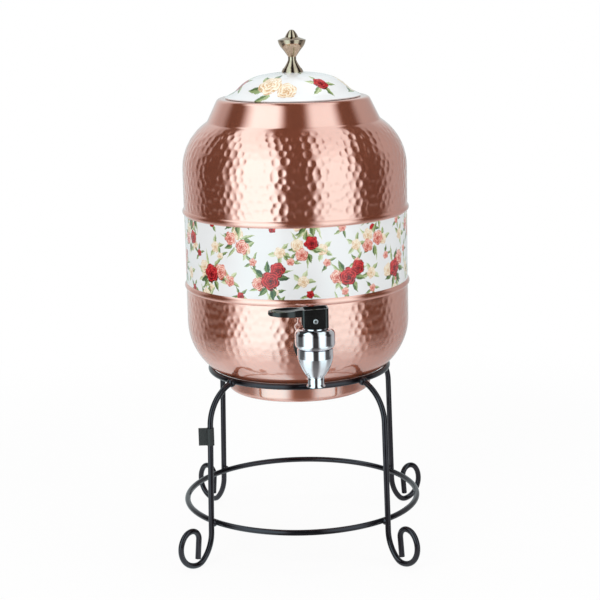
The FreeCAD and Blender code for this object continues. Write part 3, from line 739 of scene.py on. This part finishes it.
def use(tree, group, inputs):
    """Places a group in a tree; gives its outputs by name."""
    return add(tree, "ShaderNodeGroup", inputs, node_tree=group).outputs


def polar(tree, place, turn):
    """Distance from the middle, and angle with a turn added."""
    parts = split(tree, place)
    return length_of(tree, place), calc(tree, "ADD", calc(tree, "ARCTAN2", parts[1], parts[0]), turn)


def moved(tree, place, shift):
    """A place measured from a point somewhere else."""
    return vector_calc(tree, "SUBTRACT", place, shift)


def off_middle(tree, steps, size):
    """How far a count of steps is from the middle of the step that it is in, for steps of a size."""
    return times(tree, minus(tree, calc(tree, "FRACT", steps), 0.5), size)


# %% [markdown]
# The first group cuts the flat surface into cells, each row shifted by half a cell against the one below.
# A cell's column, its row and a seed make its name, and white noise turns the name into its chance: three
# numbers between 0 and 1. They also move the motif off the cell's middle, by half its play at most.

# %% Cells, each with its own chance
MIDDLE = (0.5, 0.5, 0.5)
cells, given = new_group(
    "cells",
    {"Place": VECTOR, "Width": FLOAT, "Height": FLOAT, "Columns": FLOAT, "Seed": FLOAT, "Play": VECTOR},
    {"Place": VECTOR, "Chance": VECTOR},
)
parts = split(cells, given["Place"])
across = calc(cells, "DIVIDE", parts[0], given["Width"])
upward = calc(cells, "DIVIDE", parts[1], given["Height"])
row = calc(cells, "FLOOR", upward)
across = times_plus(cells, row, 0.5, across)
column = calc(cells, "FLOORED_MODULO", calc(cells, "FLOOR", across), given["Columns"])
cell_name = joined(cells, column, row, given["Seed"])
chance = add(cells, "ShaderNodeTexWhiteNoise", {"Vector": cell_name}).outputs["Color"]
in_cell = joined(
    cells, off_middle(cells, across, given["Width"]), off_middle(cells, upward, given["Height"]))
nudge = vector_calc(cells, "MULTIPLY", moved(cells, chance, MIDDLE), given["Play"])
add(cells, "NodeGroupOutput", {"Place": moved(cells, in_cell, nudge), "Chance": chance})

# %% [markdown]
# A flower is a set of rules in polar coordinates about its heart. The distance counts off the rings of
# petals, and each ring's edge is scalloped, a scallop to a petal, and turned against the ring inside it.
# A petal is dark at its foot, where it tucks under the next ring, and light at its rim, and the flower's
# upper side is lighter than its lower one. Its three tones are picked by kind: red, coral or cream.

# %% A rose
PETAL_RINGS = 3.4
SWIRL = 0.35
HALF_THE_PETALS = 2.5
RING_TURN = 2.2
SCALLOP = 0.62
HEART_SHADE = 0.45
SIDE_LIGHT = 0.14
rose, given = new_group(
    "rose",
    {"Under": COLOUR, "Place": VECTOR, "Radius": FLOAT, "Turn": FLOAT, "Kind": FLOAT},
    {"Colour": COLOUR},
)
distance, angle = polar(rose, given["Place"], given["Turn"])
out = times(rose, calc(rose, "DIVIDE", distance, given["Radius"]), PETAL_RINGS)
swirl = times_plus(rose, out, SWIRL, angle)
ring_turn = times(rose, calc(rose, "FLOOR", out), RING_TURN)
petal = times_plus(rose, swirl, HALF_THE_PETALS, ring_turn)
petal = calc(rose, "ABSOLUTE", calc(rose, "SINE", petal))
edge = times_plus(rose, minus(rose, 1.0, petal), SCALLOP, out)
heart = minus(rose, 1.0, eased(rose, out, 0.25, 1.3))
light = minus(rose, calc(rose, "FRACT", edge), times(rose, heart, HEART_SHADE))
lit_side = calc(rose, "SINE", minus(rose, angle, given["Turn"]))
light = calc(rose, "ADD", light, times(rose, lit_side, SIDE_LIGHT))


def by_kind(red, coral, cream):
    """One of three colours, for red, coral and cream roses."""
    stops = [(0.0, red), (0.34, coral), (0.67, cream)]
    return ramp(rose, given["Kind"], [(start, (*colour, 1)) for start, colour in stops], "CONSTANT")


deep = by_kind((0.05, 0.001, 0.002), (0.42, 0.03, 0.02), (0.62, 0.36, 0.18))
middle = by_kind((0.38, 0.006, 0.012), (0.80, 0.24, 0.18), (0.88, 0.72, 0.50))
lit = by_kind((0.72, 0.05, 0.05), (0.93, 0.70, 0.60), (0.93, 0.88, 0.76))
colour = blended(rose, eased(rose, light, 0.0, 0.42), deep, middle)
colour = blended(rose, eased(rose, light, 0.38, 0.90), colour, lit)
inside = calc(rose, "LESS_THAN", edge, PETAL_RINGS)
add(rose, "NodeGroupOutput", {"Colour": blended(rose, inside, given["Under"], colour)})

# %% [markdown]
# Leaves stand round a heart like the petals of a star, but some are missing and each has its own green,
# so that no two posies look stamped from one block. A leaf is broadest below its middle, with a curved
# rib, side veins and saw teeth, and one half of it is darker, as if the leaf were folded a little.

# %% A ring of leaves, some of them missing
RIB_CURVE = 0.018
TO_FULL_WIDTH = 4.0
STALK_BREADTH = 1.25
TEETH_PER_MILLIMETRE = 0.75
TOOTH_DEPTH = 0.22
RIB_HALF_WIDTH = 0.16
VEINS_PER_MILLIMETRE = 0.62
VEIN_STARTS = 0.80
VEIN_LIGHT = 0.22
FOLD_SHADE = 0.30
LUCK_LIGHT = 0.55
DARKEST = -0.1
leaves, given = new_group(
    "leaves",
    {
        "Under": COLOUR, "Place": VECTOR, "Turn": FLOAT, "Count": FLOAT, "From": FLOAT, "Length": FLOAT,
        "Width": FLOAT, "Paleness": FLOAT, "Missing": FLOAT,
    },
    {"Colour": COLOUR},
)
distance, angle = polar(leaves, given["Place"], given["Turn"])
sector = calc(leaves, "DIVIDE", math.tau, given["Count"])
turns = calc(leaves, "DIVIDE", angle, sector)
leaf_number = calc(leaves, "FLOORED_MODULO", calc(leaves, "FLOOR", turns), given["Count"])
leaf_name = joined(leaves, leaf_number, given["Turn"])
luck = add(leaves, "ShaderNodeTexWhiteNoise", {"Vector": leaf_name}).outputs[0]
off_rib = off_middle(leaves, turns, sector)
reach = times(leaves, distance, calc(leaves, "COSINE", off_rib))
reach = minus(leaves, reach, given["From"])
aside = times(leaves, distance, calc(leaves, "SINE", off_rib))
aside = times_plus(leaves, times(leaves, reach, reach), RIB_CURVE, aside)
share = calc(leaves, "DIVIDE", reach, given["Length"])
belly = times(leaves, share, minus(leaves, 1.0, share))
belly = times(leaves, belly, TO_FULL_WIDTH)
belly = times(leaves, belly, minus(leaves, STALK_BREADTH, share))
teeth = calc(leaves, "FRACT", times(leaves, reach, TEETH_PER_MILLIMETRE))
belly = times(leaves, belly, times_plus(leaves, teeth, -TOOTH_DEPTH, 1.0))
from_rib = calc(leaves, "ABSOLUTE", aside)
shape = calc(leaves, "LESS_THAN", from_rib, times(leaves, belly, given["Width"]))
shape = times(leaves, shape, calc(leaves, "GREATER_THAN", luck, given["Missing"]))
shape = times(leaves, shape, calc(leaves, "LESS_THAN", share, 1.0))
veins = times(leaves, minus(leaves, reach, from_rib), VEINS_PER_MILLIMETRE)
veins = calc(leaves, "GREATER_THAN", calc(leaves, "FRACT", veins), VEIN_STARTS)
lines = calc(leaves, "MAXIMUM", calc(leaves, "LESS_THAN", from_rib, RIB_HALF_WIDTH), veins)
tone = calc(leaves, "ADD", times_plus(leaves, luck, LUCK_LIGHT, given["Paleness"]), DARKEST)
shaded = times(leaves, calc(leaves, "LESS_THAN", aside, 0.0), FOLD_SHADE)
tone = times_plus(leaves, lines, VEIN_LIGHT, minus(leaves, tone, shaded))
green = ramp(leaves, tone, [
    (0.0, (0.030, 0.070, 0.025, 1)), (0.35, (0.10, 0.17, 0.05, 1)),
    (0.65, (0.33, 0.42, 0.17, 1)), (1.0, (0.66, 0.72, 0.48, 1)),
])
add(leaves, "NodeGroupOutput", {"Colour": blended(leaves, shape, given["Under"], green)})
print("node groups", len(bpy.data.node_groups))

# %% [markdown]
# A hand never draws one line twice, so the whole print strays a little from its true place. A motif is
# set once in each cell. It is drawn as rings of leaves with roses over them, onto the colour so far.

# %% Helpers that draw the print
GROUND = (0.83, 0.845, 0.855, 1.0)
FLUTTER_SCALE = 0.32
FLUTTER_REACH = (2.6, 2.6, 0.0)


def hand_drawn(tree, place):
    """Strays from the true place a little, as a hand does, so that no edge is quite regular."""
    inputs = {"Vector": place, "Scale": FLUTTER_SCALE, "Detail": 2.0}
    flutter = moved(tree, add(tree, "ShaderNodeTexNoise", inputs).outputs["Color"], MIDDLE)
    return vector_calc(tree, "ADD", place, vector_calc(tree, "MULTIPLY", flutter, FLUTTER_REACH))


def scattered(tree, place, size, shift, seed, play, swing):
    """One motif to a cell: the place about its heart, its turn, and its kind."""
    width, height, columns = size
    found = use(tree, cells, {
        "Place": moved(tree, place, (*shift, 0.0)), "Width": width, "Height": height, "Columns": columns,
        "Seed": seed, "Play": (*play, 0.0),
    })
    chances = split(tree, found["Chance"])
    swung = times(tree, minus(tree, chances[1], 0.5), swing)
    inputs = {"Vector": found["Place"], "Angle": swung}
    heart = add(tree, "ShaderNodeVectorRotate", inputs, rotation_type="Z_AXIS").outputs[0]
    return heart, times(tree, chances[0], math.tau), chances[2]


def posy(tree, colour, motif, foliage, roses):
    """Draws rings of leaves, then roses, over a colour. Lengths are in millimetres. A ring of leaves is
    (count, start, length, width, paleness, share missing). A rose is (across, upward, radius, its kind
    and how far the kind may go with the motif's own), from red at 0 over coral to cream at 1."""
    place, turn, kind = motif
    for count, start, length, width, paleness, missing in foliage:
        colour = use(tree, leaves, {
            "Under": colour, "Place": place, "Turn": turn, "Count": count, "From": start, "Length": length,
            "Width": width, "Paleness": paleness, "Missing": missing,
        })["Colour"]
    for across, upward, radius, kind_start, kind_span in roses:
        colour = use(tree, rose, {
            "Under": colour, "Place": moved(tree, place, (across, upward, 0.0)), "Radius": radius,
            "Turn": calc(tree, "ADD", turn, radius),
            "Kind": times_plus(tree, kind, kind_span, kind_start),
        })["Colour"]
    return colour


def in_millimetres(tree):
    """The three parts of the place on a piece, in millimetres."""
    return split(tree, scaled(tree, own_place(tree), 1 / MILLIMETRE))


def laid_flat(tree, parts, radius, upward):
    """A place on the flat sheet: how far round the axis from the tap, and how far up."""
    angle = calc(tree, "ARCTAN2", parts[0], times(tree, parts[1], -1.0))
    return hand_drawn(tree, joined(tree, times(tree, angle, radius), upward))


# %% [markdown]
# Fired enamel is glass, so a print on it lies under a hard clear gloss. The gloss is never quite flat: it
# has a faint wave, like the skin of an orange, which a fine bump gives.

# %% Enamel over a print
def show_enamel(tree, print_colour):
    """Covers a print with fired enamel."""
    wave = bump(tree, noise(tree, own_place(tree), 260.0, 1.0), 0.05, 0.0003)
    show(tree, "ShaderNodeBsdfPrincipled", {
        "Base Color": print_colour, "Roughness": 0.22, "Coat Weight": 0.35, "Coat Roughness": 0.08,
        "Normal": wave,
    })


# %% [markdown]
# The band's print is drawn from the back to the front in four layers: pale wisps of leaves with a small
# cream flower, single buds, threesomes of middling roses, and in front the posies, one large red rose
# with two smaller ones beside it. Their rows are half a cell apart.

# %% The band's print
POSIES_ROUND = 10
ROW_HEIGHT = 56.0
FIRST_ROW_BELOW_SEAM = 6.0
BAND_SWING = 2.2
POSY_ROOM = (math.tau * BAND_RADIUS / POSIES_ROUND, ROW_HEIGHT, POSIES_ROUND)
HALF_ROOM = (POSY_ROOM[0] / 2, ROW_HEIGHT / 2, POSIES_ROUND * 2)
band_print, tree = finish_of("printed_band")
parts = in_millimetres(tree)
upward = minus(tree, parts[2], lower_seam - FIRST_ROW_BELOW_SEAM)
flat_place = laid_flat(tree, parts, BAND_RADIUS, upward)
wisps = scattered(tree, flat_place, HALF_ROOM, (9.0, 11.0), 2.0, (9.0, 6.0), BAND_SWING)
colour = posy(tree, GROUND, wisps, [(5.0, 3.4, 8.0, 2.7, 0.62, 0.30)], [(0.0, 0.0, 5.2, 0.6, 0.35)])
buds = scattered(tree, flat_place, HALF_ROOM, (HALF_ROOM[0] / 2, 0.0), 3.0, (8.0, 7.0), BAND_SWING)
colour = posy(tree, colour, buds, [(5.0, 1.8, 8.0, 1.9, 0.30, 0.35)], [(0.0, 0.0, 3.6, 0.0, 0.9)])
between = (POSY_ROOM[0] / 2, ROW_HEIGHT / 2)
threes = scattered(tree, flat_place, POSY_ROOM, between, 4.0, (9.0, 7.0), BAND_SWING)
colour = posy(tree, colour, threes, [(5.0, 5.0, 14.5, 1.9, 0.62, 0.30), (7.0, 6.0, 9.5, 3.1, 0.32, 0.28)], [
    (-5.6, 4.4, 5.8, 0.68, 0.2), (6.4, 1.6, 6.6, 0.1, 0.45), (-5.2, -5.0, 6.0, 0.36, 0.3),
])
posies = scattered(tree, flat_place, POSY_ROOM, (0.0, 0.0), 5.0, (9.0, 7.0), BAND_SWING)
colour = posy(tree, colour, posies, [(6.0, 6.0, 17.0, 2.2, 0.58, 0.30), (8.0, 7.0, 11.0, 3.6, 0.12, 0.25)], [
    (-10.0, 5.0, 6.2, 0.5, 0.4), (11.6, 2.6, 7.2, 0.2, 0.45), (0.0, 0.0, 8.8, 0.0, 0.40),
])
show_enamel(tree, colour)
finish_nodes(band_print, "band_shell")
print("posies round the band", POSIES_ROUND)

# %% [markdown]
# The lid is laid flat too, with the distance in from its edge as the height. Seen from the side it is a
# narrow strip, so it has fewer and larger flowers: red blooms, and over them cream pairs.

# %% The lid's print
LID_MIDDLE_RADIUS = 42.0
LID_EDGE_RADIUS = 61.0
POSIES_ON_LID = 3
LID_ROW_HEIGHT = 46.0
LID_ROOM = (math.tau * LID_MIDDLE_RADIUS / POSIES_ON_LID, LID_ROW_HEIGHT, POSIES_ON_LID)
lid_print, tree = finish_of("printed_lid")
parts = in_millimetres(tree)
off_axis = length_of(tree, joined(tree, parts[0], parts[1]))
inward = minus(tree, LID_EDGE_RADIUS, off_axis)
flat_place = laid_flat(tree, parts, LID_MIDDLE_RADIUS, inward)
small = scattered(tree, flat_place, LID_ROOM, (LID_ROOM[0] * 0.75, -6.0), 21.0, (8.0, 6.0), 0.8)
colour = posy(tree, GROUND, small, [(6.0, 4.5, 11.0, 2.8, 0.45, 0.30)], [(0.0, 0.0, 7.0, 0.0, 0.3)])
large = scattered(tree, flat_place, LID_ROOM, (LID_ROOM[0] * 0.25, -7.0), 22.0, (6.0, 3.0), 0.6)
colour = posy(tree, colour, large, [(7.0, 8.0, 15.0, 4.6, 0.30, 0.30)], [
    (12.5, -2.0, 8.0, 0.68, 0.2), (-4.0, 0.5, 11.0, 0.7, 0.2),
])
show_enamel(tree, colour)
finish_nodes(lid_print, "lid_dome")
print("posies on the lid", POSIES_ON_LID)

# %% [markdown]
# ## The stand's black enamel paint
# The rods are dipped in black paint, which dries glossy but a little lumpy: it runs thick in the corners
# and thin on the tops. A soft bump about as wide as a rod, and a second fine one, break the highlight.

# %% Paint the stand
black_paint, tree = finish_of("black_paint")
place = own_place(tree)
runs = noise(tree, place, 120.0, 2.0)
dust = noise(tree, place, 1400.0, 2.0)
coat = bump(tree, dust, 0.03, 0.0002, under=bump(tree, runs, 0.07, 0.0010))
ink = ramp(tree, runs, [(0.35, (0.003, 0.003, 0.004, 1)), (0.65, (0.008, 0.008, 0.010, 1))])
gloss = times_plus(tree, dust, 0.10, 0.05)
show(tree, "ShaderNodeBsdfPrincipled", {
    "Base Color": ink, "Roughness": gloss, "Normal": coat, "Specular IOR Level": 0.55,
    "Specular Tint": (1.0, 0.86, 0.97, 1),
})
leg_names = [name for name in pieces if name.startswith("leg_")]
finish_nodes(black_paint, "top_ring", "lower_ring", "top_welds", "lower_welds", *leg_names)
print("painted legs and strip", len(leg_names))

# %% [markdown]
# The strip folded round one leg is bare plastic. It is duller than the paint, and its grain is finer.

# %% The strip on the leg
strip_black, tree = finish_of("strip_black")
grain = noise(tree, own_place(tree), 900.0, 3.0)
show(tree, "ShaderNodeBsdfPrincipled", {
    "Base Color": mottled(tree, grain, grey(0.016), grey(0.034)), "Roughness": 0.55,
    "Normal": bump(tree, grain, 0.3, 0.0002),
})
finish_nodes(strip_black, "leg_tab")

# %% [markdown]
# ## Bright metals
# The tap is chromed, so it is a near-perfect mirror with a cool tint; a trace of waviness from the
# casting under the plating keeps its reflections from looking drawn with a ruler. The knob is nickel on
# brass: warmer, and polished on a lathe. Nuts, screws and springs are duller.

# %% A polished metal with its own tint, dullness and waviness
def polished(name, low_tint, high_tint, dull, wave_size, wave_depth):
    material, tree = finish_of(name)
    place = own_place(tree)
    haze = noise(tree, place, 420.0, 3.0)
    show(tree, "ShaderNodeBsdfPrincipled", {
        "Base Color": mottled(tree, haze, low_tint, high_tint), "Metallic": 1.0,
        "Roughness": times_plus(tree, haze, dull, dull * 0.5),
        "Normal": bump(tree, noise(tree, place, wave_size, 1.0), wave_depth, 0.001),
    })
    return material


chrome = polished("chrome", (0.88, 0.83, 0.87, 1), (0.93, 0.88, 0.92, 1), 0.05, 90.0, 0.14)
nickel_brass = polished("nickel_brass", (0.46, 0.34, 0.25, 1), (0.62, 0.455, 0.335, 1), 0.10, 80.0, 0.03)
rivet_metal = polished("rivet_metal", (0.92, 0.88, 0.90, 1), (0.96, 0.92, 0.94, 1), 0.34, 300.0, 0.10)
steel = polished("steel", (0.46, 0.46, 0.47, 1), (0.58, 0.58, 0.59, 1), 0.30, 200.0, 0.05)
brass = polished("brass", (0.70, 0.50, 0.22, 1), (0.80, 0.60, 0.30, 1), 0.26, 160.0, 0.06)
finish_nodes(chrome, "tap_body", "tap_bonnet", "valve_stem")
finish_nodes(nickel_brass, "lid_knob")
finish_nodes(rivet_metal, "lever_pin")
finish_nodes(steel, "lid_skirt", "knob_washer", "knob_screw")
finish_nodes(brass, "back_nut")

# %% [markdown]
# The rivet's ends are spread from a hollow tube, so each has a small eye, which reads as a dark dot in a
# bright ring. The shade inside the eye is painted: a second, dark colour near the rivet's axis.

# %% Painted shade in the rivet's eye
EYE_RADIUS = 0.9 * MILLIMETRE
# The eye's colour is painted shade, standing for the shade inside the hollow eye.
EYE_SHADE = (0.02, 0.019, 0.018, 1.0)
pin_low, pin_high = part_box("lever_pin")
pin_middle = (pin_low + pin_high) / 2
tree = rivet_metal.node_tree
tint = tree.nodes["Principled BSDF"].inputs["Base Color"]
off_axis = moved(tree, own_place(tree), (pin_middle.x, 0.0, pin_middle.z))
off_axis = length_of(tree, vector_calc(tree, "MULTIPLY", off_axis, (1.0, 0.0, 1.0)))
# Painted shade: near the rivet's axis the metal gives way to the dark eye colour.
outside_eye = eased(tree, off_axis, EYE_RADIUS * 0.8, EYE_RADIUS * 1.15)
tree.links.new(blended(tree, outside_eye, EYE_SHADE, tint.links[0].from_socket), tint)
print("eye radius in mm", EYE_RADIUS / MILLIMETRE)

# %% [markdown]
# ## Black plastic, rubber and silicone
# The lever is moulded in hard glossy plastic, with the faint dullness that thumbs leave on it. Rubber is
# matt and a little brown, and silicone lets some light into itself, so it never looks as white as paint.

# %% Soft and moulded materials
def moulded(name, low_tint, high_tint, rough_low, rough_span, grain_size, grain_depth, inner_light):
    material, tree = finish_of(name)
    place = own_place(tree)
    cloud = noise(tree, place, 60.0, 2.0)
    show(tree, "ShaderNodeBsdfPrincipled", {
        "Base Color": mottled(tree, cloud, low_tint, high_tint),
        "Roughness": times_plus(tree, cloud, rough_span, rough_low),
        "Normal": bump(tree, noise(tree, place, grain_size, 3.0), grain_depth, 0.0002),
        "Subsurface Weight": inner_light, "Subsurface Scale": 0.002,
    })
    return material


lever_black = moulded("lever_black", grey(0.008), grey(0.015), 0.04, 0.10, 700.0, 0.05, 0.0)
rubber = moulded(
    "seal_rubber", (0.014, 0.013, 0.012, 1), (0.028, 0.026, 0.024, 1), 0.42, 0.20, 900.0, 0.35, 0.0)
silicone = moulded(
    "silicone", (0.66, 0.66, 0.62, 1), (0.76, 0.76, 0.72, 1), 0.35, 0.15, 500.0, 0.10, 0.4)
finish_nodes(lever_black, "tap_lever")
finish_nodes(rubber, "outer_gasket")
finish_nodes(silicone, "inner_washer", "seat_cup")
print("materials", len(bpy.data.materials))

# %% [markdown]
# ## The spring and the skirt
# Two pieces inside the tap grow shorter as it opens: the spring between bonnet and cup, and the folding
# skirt over the cup. Their upper ends stay, while the cup pushes the lower ends up. Left stiff, they
# would be cut by the cup at the open pose. Here each solid gives way to a copy of itself with its own
# material, fixed to the vessel.

# %% Copy the spring and the skirt
opening = next(joint for joint in frame["record"]["behaviour"]["joints"] if joint["name"] == "stem_lift")
shortened = {
    "valve_spring": ("spring_wire", steel, "steel"),
    "seat_skirt": ("folding_skirt", silicone, "silicone"),
}
for folded in opening["deforming_nodes"]:
    node = folded["node"]
    name, material, slot = shortened[node]
    piece = new_object(name, pieces[node].data.copy())
    piece.matrix_world = pieces[node].matrix_world
    piece.data.materials.clear()
    piece.data.materials.append(material)
    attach(piece, "vessel")
    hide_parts(node)
    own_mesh(piece)
